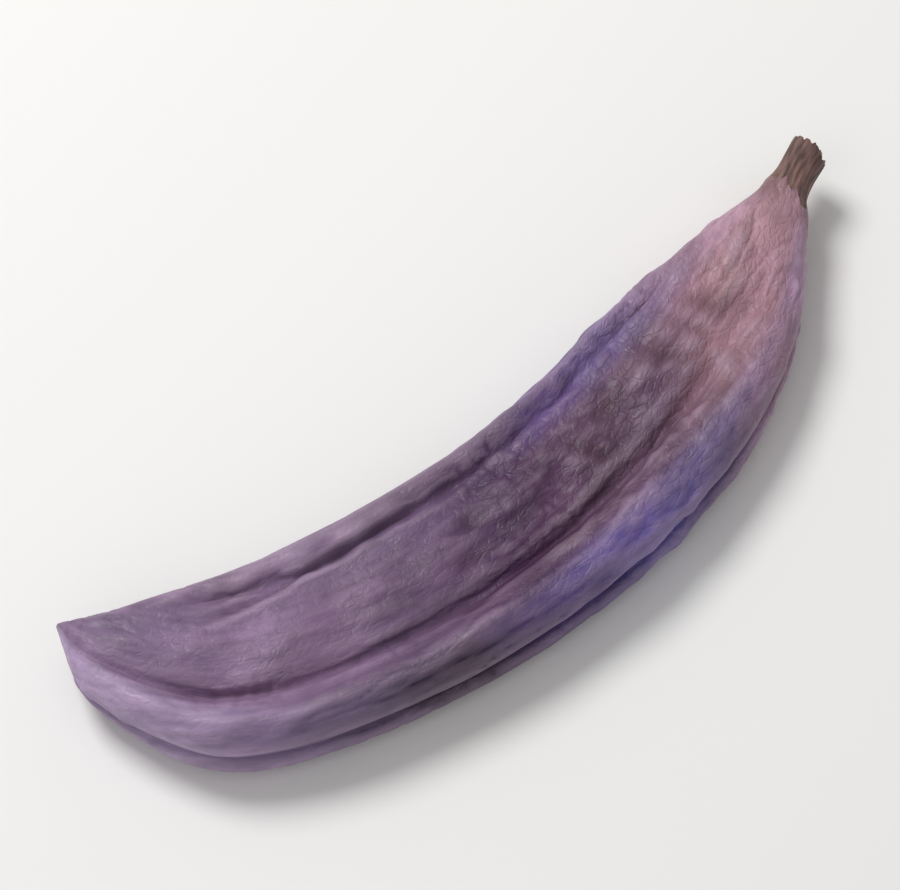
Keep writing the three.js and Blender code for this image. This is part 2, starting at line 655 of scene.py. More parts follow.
@dataclass(frozen=True)
class DriedSkinRelief:
    """Creases, wrinkles, puckers, lumps, dents and bumps that drying left in the skin, in millimetres."""

    creases: tuple[Crease, ...] = (
        # Inner seam, and the beads on the crest beside it
        Crease(SectionPoint.INNER_FURROW, depth=0.4, breadth=0.35, start=0.02, end=0.9),
        Crease(
            SectionPoint.INNER_CREST, depth=-0.28, breadth=0.9, start=0.1, end=0.7, fall=0.2, wander=0.3,
            lip=0, evenness=0.2, unevenness=1.6, uneven_length=3.4, roundness=2,
        ),
        # Inner groove: its crease, low bridges across it, and where it is filled near the tip and the stalk
        Crease(
            SectionPoint.INNER_GROOVE, depth=0.65, breadth=0.35, start=0.14, end=0.52, rise=0.08, fall=0.2,
            lean=2.6, unevenness=1.0,
        ),
        Crease(
            SectionPoint.INNER_GROOVE, depth=-0.4, breadth=1.2, start=0.16, end=0.5, wander=0, lip=0,
            evenness=-0.1, unevenness=1.6, uneven_length=4, uneven_shift=3.1, roundness=2,
        ),
        Crease(
            SectionPoint.INNER_GROOVE, depth=-0.45, breadth=1.4, start=0, end=0.25, rise=0.08, wander=0,
            lip=0, roundness=2,
        ),
        Crease(
            SectionPoint.INNER_GROOVE, depth=-0.55, breadth=1.4, start=0.36, end=0.9, rise=0.15, wander=0,
            lip=0, roundness=2,
        ),
        # Outer groove and seam, and the grooves of the lower side
        Crease(
            SectionPoint.OUTER_GROOVE, depth=0.42, breadth=0.3, start=0.02, end=0.72, rise=0.12, fall=0.35,
            lip=0.1,
        ),
        Crease(SectionPoint.OUTER_FURROW, depth=0.45, breadth=0.35, start=0.02, end=0.9),
        Crease(SectionPoint.LOWER_OUTER_GROOVE, depth=0.55, breadth=0.35, start=0.08, end=0.8, rise=0.2),
        Crease(SectionPoint.LOWER_INNER_GROOVE, depth=0.5, breadth=0.3, start=0.1, end=0.75, rise=0.2),
    )

    # Fine lines along the pod, and short ones across it that come in patches
    long_wrinkles: tuple[Wrinkle, ...] = (
        Wrinkle(length=26, breadth=2.8, depth=0.13, sharpness=9, shift=3.3),
        Wrinkle(length=9, breadth=1.7, depth=0.06, sharpness=5, shift=31.9),
    )
    puckers: tuple[Wrinkle, ...] = (
        Wrinkle(length=3.2, breadth=6, depth=0.2, sharpness=6, shift=13.4),
        Wrinkle(length=1.8, breadth=3, depth=0.08, sharpness=4, shift=45.7),
        Wrinkle(length=1.4, breadth=1.1, depth=0.05, sharpness=3, shift=54.8),
    )

    # Lumps of the whole skin, and more of them where it is shrunken
    lumps: tuple[Lump, ...] = (
        Lump(length=9, breadth=5, size=0.2, shift=5.1),
        Lump(length=4, breadth=2.6, size=0.06, shift=8.9),
    )
    shrunken: tuple[Lump, ...] = (
        Lump(length=4.2, breadth=2.8, size=0.28, shift=27.3),
        Lump(length=2.0, breadth=1.4, size=0.12, shift=17.6),
    )

    # Each with its side, its places along and across, its length, breadth and depth
    dents: tuple[Dent, ...] = (
        # Dips of the upper side, from the middle of the pod to the neck
        Dent(Side.UPPER, 0.435, -0.07, 1.8, 1.1, 0.22, turn=15),
        Dent(Side.UPPER, 0.45, 0.29, 1.6, 1.1, 0.22),
        Dent(Side.UPPER, 0.59, 0.10, 3.2, 1.2, 0.38, turn=-50),
        Dent(Side.UPPER, 0.635, 0.28, 2.6, 1.3, 0.35),
        Dent(Side.UPPER, 0.715, 0.17, 3.0, 1.2, 0.38, turn=-60),
        Dent(Side.UPPER, 0.725, -0.43, 2.4, 1.2, 0.3, turn=-10),
        Dent(Side.UPPER, 0.748, 0.12, 2.2, 1.3, 0.32, turn=-60),
        Dent(Side.UPPER, 0.79, 0.03, 6.5, 1.5, 0.32, turn=-57),
        Dent(Side.UPPER, 0.425, -0.5, 2.4, 0.9, 0.25),
        # Bumps of the upper side
        Dent(Side.UPPER, 0.265, 0.67, 2.0, 1.2, -0.38),
        Dent(Side.UPPER, 0.323, 0.74, 2.0, 0.9, -0.3),
        Dent(Side.UPPER, 0.508, 0.69, 2.8, 1.2, -0.28),
        Dent(Side.UPPER, 0.52, -0.48, 2.4, 1.0, -0.25),
        Dent(Side.UPPER, 0.68, 0.23, 1.7, 1.3, -0.35),
        Dent(Side.UPPER, 0.748, -0.26, 1.8, 1.4, -0.35),
        Dent(Side.UPPER, 0.782, 0.58, 2.6, 1.5, -0.35),
        Dent(Side.UPPER, 0.845, 0.21, 2.4, 1.6, -0.35),
        # Dips of the lower side
        Dent(Side.LOWER, 0.30, 0.10, 3.4, 2.4, 0.4),
        Dent(Side.LOWER, 0.44, 0.28, 2.6, 1.6, 0.35, turn=30),
        Dent(Side.LOWER, 0.57, 0.00, 3.2, 1.6, 0.35, turn=-40),
        Dent(Side.LOWER, 0.76, 0.10, 3.0, 1.4, 0.35, turn=50),
    )

    # Where along the pod the relief starts, the skin is more shrunken, and the neck draws its wrinkles deeper
    from_tip: Rise = Rise(0, 0.02)
    shrinking: Rise = Rise(0.38, 0.62)
    lumps_near_tip: float = 0.4
    neck_drawing: Rise = Rise(0.7, 0.88)
    neck_gain: float = 1.2

    # How far noise bends the wrinkles and puckers aside, and the size of the bends
    bend: float = 1.6
    bend_length: float = 6.0
    bend_breadth: float = 4.0
    bend_shifts: tuple[float, ...] = (61.3, 72.9, 83.1)

    # How far puckers reach from a crease, their share elsewhere, and the patches that they come in
    pucker_reach: float = 3.2
    pucker_least: float = 0.2
    pucker_shrunk: float = 0.5
    patch_length: float = 15.0
    patch_breadth: float = 7.0
    patch_shift: float = 21.4
    patch_edge: tuple[float, float] = (-0.2, 0.4)

    def puckering(self, grid: SkinGrid, form: PodForm) -> np.ndarray:
        """Find how puckered the skin is: in patches, by the creases and towards the stalk.

        Args:
            grid: the skin.
            form: the pod.

        Returns:
            A share at each place of the grid.
        """
        patches = noise_field(grid.straight, self.patch_length, self.patch_breadth, self.patch_shift)
        nearest = np.min([crease.gap(grid, form) for crease in self.creases], axis=0)
        by_crease = np.exp(-(nearest / self.pucker_reach) ** 2)
        elsewhere = self.pucker_least + self.pucker_shrunk * self.shrinking.share(grid.along)
        return smoothstep(patches, *self.patch_edge) * np.maximum(by_crease, elsewhere)

    def dips(self, grid: SkinGrid, form: PodForm) -> np.ndarray:
        """Depth of the dents at each place of a grid, below 0 on the bumps."""
        return -sum(dent.height(grid, form) for dent in self.dents)

    def height(self, grid: SkinGrid, form: PodForm) -> np.ndarray:
        """Add up all the fine relief of the pod's skin.

        Args:
            grid: the skin.
            form: the pod.

        Returns:
            Height at each place of the grid.
        """
        places = grid.straight
        shrunk = self.shrinking.share(grid.along)
        lumpy = self.lumps_near_tip + (1 - self.lumps_near_tip) * shrunk
        drawn_in = 1 + self.neck_gain * self.neck_drawing.share(grid.along)
        moves = [noise_field(places, self.bend_length, self.bend_breadth, s) for s in self.bend_shifts]
        bent = places + self.bend * np.stack(moves, axis=-1)
        total = sum(crease.height(grid, form) for crease in self.creases) - self.dips(grid, form)
        total = total + lumpy * sum(lump.height(places) for lump in self.lumps)
        total = total + shrunk * sum(lump.height(places) for lump in self.shrunken)
        total = total + drawn_in * sum(wrinkle.height(bent) for wrinkle in self.long_wrinkles)
        total = total + self.puckering(grid, form) * sum(wrinkle.height(bent) for wrinkle in self.puckers)
        return total * self.from_tip.share(grid.along) * (1 - form.neck.share(grid.along))


@dataclass(frozen=True)
class StalkRelief:
    """Collar, fibres and torn end of the stump of stalk, in millimetres and shares of the length."""

    collar_at: float = 0.945
    collar_height: float = 0.18
    collar_length: float = 1.2
    fibre_length: float = 7.0
    fibre_breadth: float = 0.6
    fibre_height: float = 0.16
    fibre_shift: float = 15.2
    fibres_from: Rise = Rise(0.92, 0.95)
    bark_points: float = 3.0
    bark_ragged: float = 0.014
    bark_shift: float = 0.5
    tearing: Rise = Rise(0.975, 1.0)
    tear_size: float = 0.7
    tear_height: float = 0.7
    tear_fineness: float = 0.5
    tear_shifts: tuple[float, float] = (2.6, 9.6)

    def height(self, grid: SkinGrid, form: PodForm) -> np.ndarray:
        """Shape the collar and the fibres.

        Args:
            grid: the skin.
            form: the pod.

        Returns:
            Height at each place of the grid.
        """
        gap = (grid.along - self.collar_at) * form.length() / self.collar_length
        collar = self.collar_height * np.exp(-gap ** 2)
        fibres = noise_field(grid.straight, self.fibre_length, self.fibre_breadth, self.fibre_shift)
        raised = self.fibre_height * fibres * self.fibres_from.share(grid.along)
        return (collar + raised) * grid.open[:, None]

    def bark_from(self, turn: float) -> float:
        """Find where the bark starts, which is ragged.

        Args:
            turn: share of the way round the stalk.

        Returns:
            Share of the length.
        """
        angle = 2 * math.pi * turn
        round_stalk = Vector((math.cos(angle), math.sin(angle), 0)) * self.bark_points
        ragged = noise.noise(round_stalk + Vector((0, 0, self.bark_shift)))
        return self.collar_at + self.bark_ragged * ragged

    def tear(self, grid: SkinGrid) -> np.ndarray:
        """Find how far the torn end stands out along the stalk.

        Args:
            grid: the skin.

        Returns:
            Distance at each place of the grid.
        """
        end_on = grid.straight * (0, 1, 1)
        coarse, fine = self.tear_shifts
        ragged = noise_field(end_on, self.tear_size, self.tear_size, coarse)
        small = self.tear_size * self.tear_fineness
        ragged = ragged + self.tear_fineness * noise_field(end_on, small, small, fine)
        return self.tear_height * ragged * self.tearing.share(grid.along)


@dataclass(frozen=True)
class RidgeTintAndPaintedLight:
    """Where the ridges carry a violet tint and painted light, in shares of half the width and of the length.
    """

    # Where it starts across the pod, and over what breadth it comes in
    edge: float = 0.4
    fade: float = 0.3

    # How the outer ridge's tint and painted light narrow from the tip and widen again towards the stalk
    narrowed: float = 0.18
    narrowing: Rise = Rise(0.15, 0.32)
    widened: float = 0.1
    widening: Rise = Rise(0.42, 0.56)

    # How much the inner ridge has, and where along the pod it comes in
    on_inner_ridge: float = 0.75
    inner_growing: Rise = Rise(0.42, 0.6)

    def share(self, grid: SkinGrid) -> np.ndarray:
        """Find how much of the ridges' tint and painted light each place has.

        Args:
            grid: the skin.

        Returns:
            A share at each place of the grid.
        """
        moved = self.narrowed * self.narrowing.share(grid.along)
        moved = moved - self.widened * self.widening.share(grid.along)
        outer = smoothstep(-grid.across - moved, self.edge, self.edge + self.fade)
        inner = smoothstep(grid.across, self.edge, self.edge + self.fade)
        return outer + self.on_inner_ridge * inner * self.inner_growing.share(grid.along)


@dataclass(frozen=True)
class DriedPodSkin:
    """Carob skin: a leathery fruit wall that shrank and wrinkled as it dried in the sun.

    Its thin wax gives a soft, broken gloss. The crests are painted paler, partly as rubbed wear and partly as
    painted highlight, and the creases and dents are painted darker as painted shade. It is greyer at the tip,
    darker in the middle and rosy by the stalk, and its ridges carry a violet tint with painted highlights,
    sheen and shade.
    """

    name: str = "dried_carob_skin"

    # Colours at shares of the length, on the flat sides and on the ridges, and how far noise moves them
    ground_along: tuple[tuple[float, str], ...] = (
        (0.28, "#7e6684"), (0.49, "#432648"), (0.66, "#5f455c"), (0.8, "#a87f89"), (0.91, "#ae8791"),
        (0.97, "#6b4a45"),
    )
    # On the ridges: a violet tint, with painted highlights in the pale stops near the tip and by the neck,
    # painted sheen in the blue stop, and painted shade on the outer ridge's flank in the near-black stops
    ridge_tint_and_painted_light_along: tuple[tuple[float, str], ...] = (
        (0.14, "#a28eaf"), (0.26, "#837094"), (0.37, "#1f1030"), (0.43, "#1b0c26"), (0.57, "#675799"),
        (0.73, "#77638a"), (0.88, "#b28fa9"), (0.97, "#6b4a45"),
    )
    place_shift: float = 0.2

    # Crests painted paler, partly as rubbed wear and partly as painted highlight; creases and dips painted
    # darker as painted shade; and the least share of the ridges' tint and painted light
    crest_wear_and_painted_highlight: str = "#b7a0b4"
    crest_wear_and_painted_highlight_share: float = 0.3
    # Colour of the painted shade that darkens the creases and dents
    crease: str = "#3b2228"
    crease_painted_shade_share: float = 0.3
    dip_painted_shade_share: float = 0.5
    ridge_tint_and_painted_light_least: float = 0.5

    # How far mottles and streaks change the lightness, and tints the hue
    light_range: tuple[float, float] = (0.71, 1.29)
    hue_range: tuple[float, float] = (0.487, 0.512)
    streak_share: float = 0.5

    # Gloss of the wax, which is dull in the creases
    ior: float = 1.45
    specular_level: float = 0.33
    roughness: float = 0.46
    gloss_spread: float = 0.08
    crease_dulling: float = 0.5

    # Sizes of the mottles, tints, patches of ridge tint and painted light, streaks and gloss patches, and how
    # drawn out they are
    mottle_mm: float = 4.0
    mottle_roughness: float = 0.6
    tint_mm: float = 11.0
    ridge_tint_and_painted_light_mm: float = 13.0
    streak_mm: float = 0.9
    gloss_mm: float = 0.8
    patch_stretch: float = 2.0
    streak_stretch: float = 12.5

    # Net of fine wrinkles, lengthwise lines and pores. Real ones are a third of these sizes or less, and are
    # drawn coarser so that they show.
    cell_mm: float = 1.0
    cell_depth_mm: float = 0.12
    cell_edge: float = 0.2
    net_patch_mm: float = 9.0
    net_rise: Rise = Rise(0.25, 0.6)
    net_gain: float = 0.5
    net_strength: tuple[float, float] = (0.08, 0.6)
    line_mm: float = 0.6
    line_depth_mm: float = 0.12
    line_strength: float = 0.35
    pore_mm: float = 0.3
    pore_depth_mm: float = 0.06
    pore_strength: float = 0.2

    def make(self, form: PodForm) -> bpy.types.Material:
        """Make the material.

        Args:
            form: the pod, for the length that the colours change along.

        Returns:
            The material.
        """
        material, tree, shader = new_material(self.name)
        marks = {mark: add_node(tree, "ShaderNodeAttribute", {"attribute_name": mark.value}) for mark in Mark}
        place = marks[Mark.PLACE].outputs["Vector"]
        split = add_node(tree, "ShaderNodeSeparateXYZ", inputs={0: place})
        along = add_node(
            tree, "ShaderNodeMapRange", inputs={"Value": split.outputs["X"], "From Max": form.length()}
        ).outputs[0]
        drawn, streaked = [
            add_node(
                tree, "ShaderNodeMapping", inputs={"Vector": place, "Scale": (1 / stretch, 1, 1)}
            ).outputs[0]
            for stretch in (self.patch_stretch, self.streak_stretch)
        ]
        self.colour(tree, shader, marks, along, drawn, streaked)
        self.gloss(tree, shader, marks, drawn)
        self.grain(tree, shader, place, along, streaked)
        shader.inputs["IOR"].default_value = self.ior
        shader.inputs["Specular IOR Level"].default_value = self.specular_level
        return material

    def colour(
        self,
        tree: bpy.types.NodeTree,
        shader: bpy.types.Node,
        marks: dict[Mark, bpy.types.Node],
        along: bpy.types.NodeSocket,
        drawn: bpy.types.NodeSocket,
        streaked: bpy.types.NodeSocket,
    ) -> None:
        """Lay the colours: the ground along the pod, the ridges' tint and painted light, crests paler as wear
        and painted highlight, creases and dents darker as painted shade, then mottles.

        Args:
            tree: the material's node tree.
            shader: the shader that takes the colour.
            marks: nodes that read the mesh's values.
            along: share of the length.
            drawn: places for patches that are drawn out along the pod.
            streaked: places for streaks along the pod.
        """
        tint = add_node(
            tree, "ShaderNodeTexNoise", inputs={"Vector": drawn, "Scale": 1 / self.tint_mm, "Detail": UNEVEN}
        ).outputs["Fac"]
        uneven = add_node(
            tree, "ShaderNodeMath", {"operation": "MULTIPLY_ADD"}, {0: tint, 1: self.place_shift, 2: along}
        )
        # The noise is a half on average, so half of the shift comes off again
        moved = add_node(
            tree, "ShaderNodeMath", {"operation": "SUBTRACT"}, {0: uneven.outputs[0], 1: self.place_shift / 2}
        )
        ground, ridge_tint_and_painted_light = [
            add_node(tree, "ShaderNodeValToRGB", inputs={"Fac": moved.outputs[0]}, stops=stops).outputs[0]
            for stops in (self.ground_along, self.ridge_tint_and_painted_light_along)
        ]
        ridge_tint_and_painted_light_noise = add_node(
            tree, "ShaderNodeTexNoise", inputs={"Vector": drawn, "Scale": 1 / self.ridge_tint_and_painted_light_mm, "Detail": UNEVEN}
        )
        ridge_tint_and_painted_light_patch = add_node(
            tree, "ShaderNodeMapRange",
            inputs={
                "Value": ridge_tint_and_painted_light_noise.outputs["Fac"], "From Min": NOISE_LOW, "From Max": NOISE_HIGH,
                "To Min": self.ridge_tint_and_painted_light_least,
            },
        )
        # The ridges get their violet tint here, together with its painted highlights, painted sheen and
        # painted shade
        ridge_tint_and_painted_light_share = add_node(
            tree, "ShaderNodeMath", {"operation": "MULTIPLY"},
            {0: ridge_tint_and_painted_light_patch.outputs[0], 1: marks[Mark.BLOOM].outputs["Fac"]},
        )
        worn = add_node(
            tree, "ShaderNodeMix", {"data_type": "RGBA"},
            {MIX_FACTOR: ridge_tint_and_painted_light_share.outputs[0], MIX_A: ground, MIX_B: ridge_tint_and_painted_light},
        )
        # Crests are painted paler, partly as wear and partly as painted highlight; creases and dents are
        # painted darker as painted shade
        for mark, share, colour in (
            (Mark.CREST, self.crest_wear_and_painted_highlight_share, self.crest_wear_and_painted_highlight),
            (Mark.CREASE, self.crease_painted_shade_share, self.crease),
            (Mark.DIP, self.dip_painted_shade_share, self.crease),
        ):
            amount = add_node(
                tree, "ShaderNodeMath", {"operation": "MULTIPLY"}, {0: marks[mark].outputs["Fac"], 1: share}
            )
            worn = add_node(
                tree, "ShaderNodeMix", {"data_type": "RGBA"},
                {MIX_FACTOR: amount.outputs[0], MIX_A: worn.outputs[MIX_RESULT], MIX_B: linear(colour)},
            )

        mottle = add_node(
            tree, "ShaderNodeTexNoise",
            inputs={
                "Vector": drawn, "Scale": 1 / self.mottle_mm, "Detail": RAGGED,
                "Roughness": self.mottle_roughness,
            },
        )
        streak = add_node(
            tree, "ShaderNodeTexNoise",
            inputs={"Vector": streaked, "Scale": 1 / self.streak_mm, "Detail": UNEVEN},
        )
        flecked = add_node(
            tree, "ShaderNodeMath", {"operation": "MULTIPLY_ADD"},
            {0: streak.outputs["Fac"], 1: self.streak_share, 2: mottle.outputs["Fac"]},
        )
        light = add_node(
            tree, "ShaderNodeMapRange",
            inputs={
                "Value": flecked.outputs[0],
                "From Min": NOISE_LOW * (1 + self.streak_share),
                "From Max": NOISE_HIGH * (1 + self.streak_share),
                "To Min": self.light_range[0], "To Max": self.light_range[1],
            },
        )
        hue = add_node(
            tree, "ShaderNodeMapRange",
            inputs={
                "Value": tint, "From Min": NOISE_LOW, "From Max": NOISE_HIGH,
                "To Min": self.hue_range[0], "To Max": self.hue_range[1],
            },
        )
        toned = add_node(
            tree, "ShaderNodeHueSaturation",
            inputs={"Color": worn.outputs[MIX_RESULT], "Value": light.outputs[0], "Hue": hue.outputs[0]},
        )
        tree.links.new(toned.outputs[0], shader.inputs["Base Color"])

    def gloss(
        self,
        tree: bpy.types.NodeTree,
        shader: bpy.types.Node,
        marks: dict[Mark, bpy.types.Node],
        drawn: bpy.types.NodeSocket,
    ) -> None:
        """Lay the gloss of the wax, broken up by wear and dull in the creases.

        Args:
            tree: the material's node tree.
            shader: the shader that takes the gloss.
            marks: nodes that read the mesh's values.
            drawn: places for patches that are drawn out along the pod.
        """
        patch = add_node(
            tree, "ShaderNodeTexNoise", inputs={"Vector": drawn, "Scale": 1 / self.gloss_mm, "Detail": UNEVEN}
        )
        rough = add_node(
            tree, "ShaderNodeMapRange",
            inputs={
                "Value": patch.outputs["Fac"], "From Min": NOISE_LOW, "From Max": NOISE_HIGH,
                "To Min": self.roughness - self.gloss_spread, "To Max": self.roughness + self.gloss_spread,
            },
        )
        dull = add_node(
            tree, "ShaderNodeMath", {"operation": "MULTIPLY_ADD", "use_clamp": True},
            {0: marks[Mark.CREASE].outputs["Fac"], 1: self.crease_dulling, 2: rough.outputs[0]},
        )
        tree.links.new(dull.outputs[0], shader.inputs["Roughness"])

    def net(
        self, tree: bpy.types.NodeTree, place: bpy.types.NodeSocket, along: bpy.types.NodeSocket
    ) -> tuple[bpy.types.NodeSocket, bpy.types.NodeSocket]:
        """Draw the net of fine wrinkles, which comes in patches and grows towards the stalk.

        Args:
            tree: the material's node tree.
            place: straightened places.
            along: share of the length.

        Returns:
            The net's height, and its strength from place to place.
        """
        warp = add_node(
            tree, "ShaderNodeTexNoise", inputs={"Vector": place, "Scale": 1 / self.cell_mm, "Detail": SOFT}
        )
        warped = add_node(
            tree, "ShaderNodeVectorMath", {"operation": "MULTIPLY_ADD"},
            {0: warp.outputs["Color"], 1: (self.cell_mm, self.cell_mm, self.cell_mm), 2: place},
        )
        cells = add_node(
            tree, "ShaderNodeMapping",
            inputs={"Vector": warped.outputs[0], "Scale": (1 / self.patch_stretch, 1, 1)},
        )
        cell = add_node(
            tree, "ShaderNodeTexVoronoi", {"feature": "DISTANCE_TO_EDGE"},
            {"Vector": cells.outputs[0], "Scale": 1 / self.cell_mm},
        )
        height = add_node(
            tree, "ShaderNodeMapRange", {"interpolation_type": "SMOOTHSTEP"},
            {"Value": cell.outputs["Distance"], "From Max": self.cell_edge},
        )
        grown = add_node(
            tree, "ShaderNodeMapRange",
            inputs={
                "Value": along, "From Min": self.net_rise.start, "From Max": self.net_rise.full,
                "To Max": self.net_gain,
            },
        )
        patch = add_node(
            tree, "ShaderNodeTexNoise",
            inputs={"Vector": place, "Scale": 1 / self.net_patch_mm, "Detail": SOFT},
        )
        netted = add_node(
            tree, "ShaderNodeMath", {"operation": "ADD"}, {0: grown.outputs[0], 1: patch.outputs["Fac"]}
        )
        strength = add_node(
            tree, "ShaderNodeMapRange",
            inputs={
                "Value": netted.outputs[0], "From Min": NOISE_LOW, "From Max": NOISE_HIGH + self.net_gain,
                "To Min": self.net_strength[0], "To Max": self.net_strength[1],
            },
        )
        return height.outputs[0], strength.outputs[0]

    def grain(
        self,
        tree: bpy.types.NodeTree,
        shader: bpy.types.Node,
        place: bpy.types.NodeSocket,
        along: bpy.types.NodeSocket,
        streaked: bpy.types.NodeSocket,
    ) -> None:
        """Lay the grain of the dried skin: a net of fine wrinkles, lengthwise lines and pores.

        Args:
            tree: the material's node tree.
            shader: the shader that takes the grain.
            place: straightened places.
            along: share of the length.
            streaked: places for streaks along the pod.
        """
        net, net_strength = self.net(tree, place, along)
        line = add_node(
            tree, "ShaderNodeTexNoise", inputs={"Vector": streaked, "Scale": 1 / self.line_mm, "Detail": SOFT}
        )
        pore = add_node(
            tree, "ShaderNodeTexNoise", inputs={"Vector": place, "Scale": 1 / self.pore_mm, "Detail": SOFT}
        )
        bump = add_node(
            tree, "ShaderNodeBump",
            inputs={"Height": net, "Strength": net_strength, "Distance": self.cell_depth_mm * MM},
        )
        for height, strength, depth_mm in (
            (line.outputs["Fac"], self.line_strength, self.line_depth_mm),
            (pore.outputs["Fac"], self.pore_strength, self.pore_depth_mm),
        ):
            bump = add_node(
                tree, "ShaderNodeBump",
                inputs={
                    "Height": height, "Strength": strength, "Distance": depth_mm * MM,
                    "Normal": bump.outputs[0],
                },
            )
        tree.links.new(bump.outputs[0], shader.inputs["Normal"])


@dataclass(frozen=True)
class StalkBark:
    """Carob stalk: thin woody bark, dried and ridged lengthwise, dull and browner than the pod."""

    name: str = "dry_stalk_bark"
    dark: str = "#3f2c2c"
    pale: str = "#8a6a62"
    streak_mm: float = 0.7
    streak_stretch: float = 5.0
    bump_strength: float = 0.5
    bump_mm: float = 0.2
    roughness: float = 0.75

    def make(self) -> bpy.types.Material:
        """Make the material.

        Returns:
            The material.
        """
        material, tree, shader = new_material(self.name)
        place = add_node(tree, "ShaderNodeAttribute", {"attribute_name": Mark.PLACE.value})
        drawn = add_node(
            tree, "ShaderNodeMapping",
            inputs={"Vector": place.outputs["Vector"], "Scale": (1 / self.streak_stretch, 1, 1)},
        )
        streak = add_node(
            tree, "ShaderNodeTexNoise",
            inputs={"Vector": drawn.outputs[0], "Scale": 1 / self.streak_mm, "Detail": UNEVEN},
        )
        colour = add_node(
            tree, "ShaderNodeValToRGB", inputs={"Fac": streak.outputs["Fac"]},
            stops=((NOISE_LOW, self.dark), (NOISE_HIGH, self.pale)),
        )
        bump = add_node(
            tree, "ShaderNodeBump",
            inputs={
                "Height": streak.outputs["Fac"], "Strength": self.bump_strength,
                "Distance": self.bump_mm * MM,
            },
        )
        tree.links.new(colour.outputs[0], shader.inputs["Base Color"])
        tree.links.new(bump.outputs[0], shader.inputs["Normal"])
        shader.inputs["Roughness"].default_value = self.roughness
        return material


@dataclass(frozen=True)
class TornWood:
    """Carob stalk wood: torn across, so that pale, dull fibre ends show."""

    name: str = "torn_stalk_wood"
    dark: str = "#6d4a34"
    pale: str = "#c9a27c"
    fibre_mm: float = 0.3
    roughness: float = 0.9

    def make(self) -> bpy.types.Material:
        """Make the material.

        Returns:
            The material.
        """
        material, tree, shader = new_material(self.name)
        place = add_node(tree, "ShaderNodeAttribute", {"attribute_name": Mark.PLACE.value})
        fibre = add_node(
            tree, "ShaderNodeTexNoise",
            inputs={"Vector": place.outputs["Vector"], "Scale": 1 / self.fibre_mm, "Detail": UNEVEN},
        )
        colour = add_node(
            tree, "ShaderNodeValToRGB", inputs={"Fac": fibre.outputs["Fac"]},
            stops=((NOISE_LOW, self.dark), (NOISE_HIGH, self.pale)),
        )
        tree.links.new(colour.outputs[0], shader.inputs["Base Color"])
        shader.inputs["Roughness"].default_value = self.roughness
        return material


@dataclass(frozen=True)
class SeamlessPaper:
    """Background paper: smooth, matt and nearly white."""

    name: str = "white_background_paper"
    colour: str = "#f4f3f1"
    roughness: float = 0.9

    def make(self) -> bpy.types.Material:
        """Make the material.

        Returns:
            The material.
        """
        material, _, shader = new_material(self.name)
        shader.inputs["Base Color"].default_value = linear(self.colour)
        shader.inputs["Roughness"].default_value = self.roughness
        return material


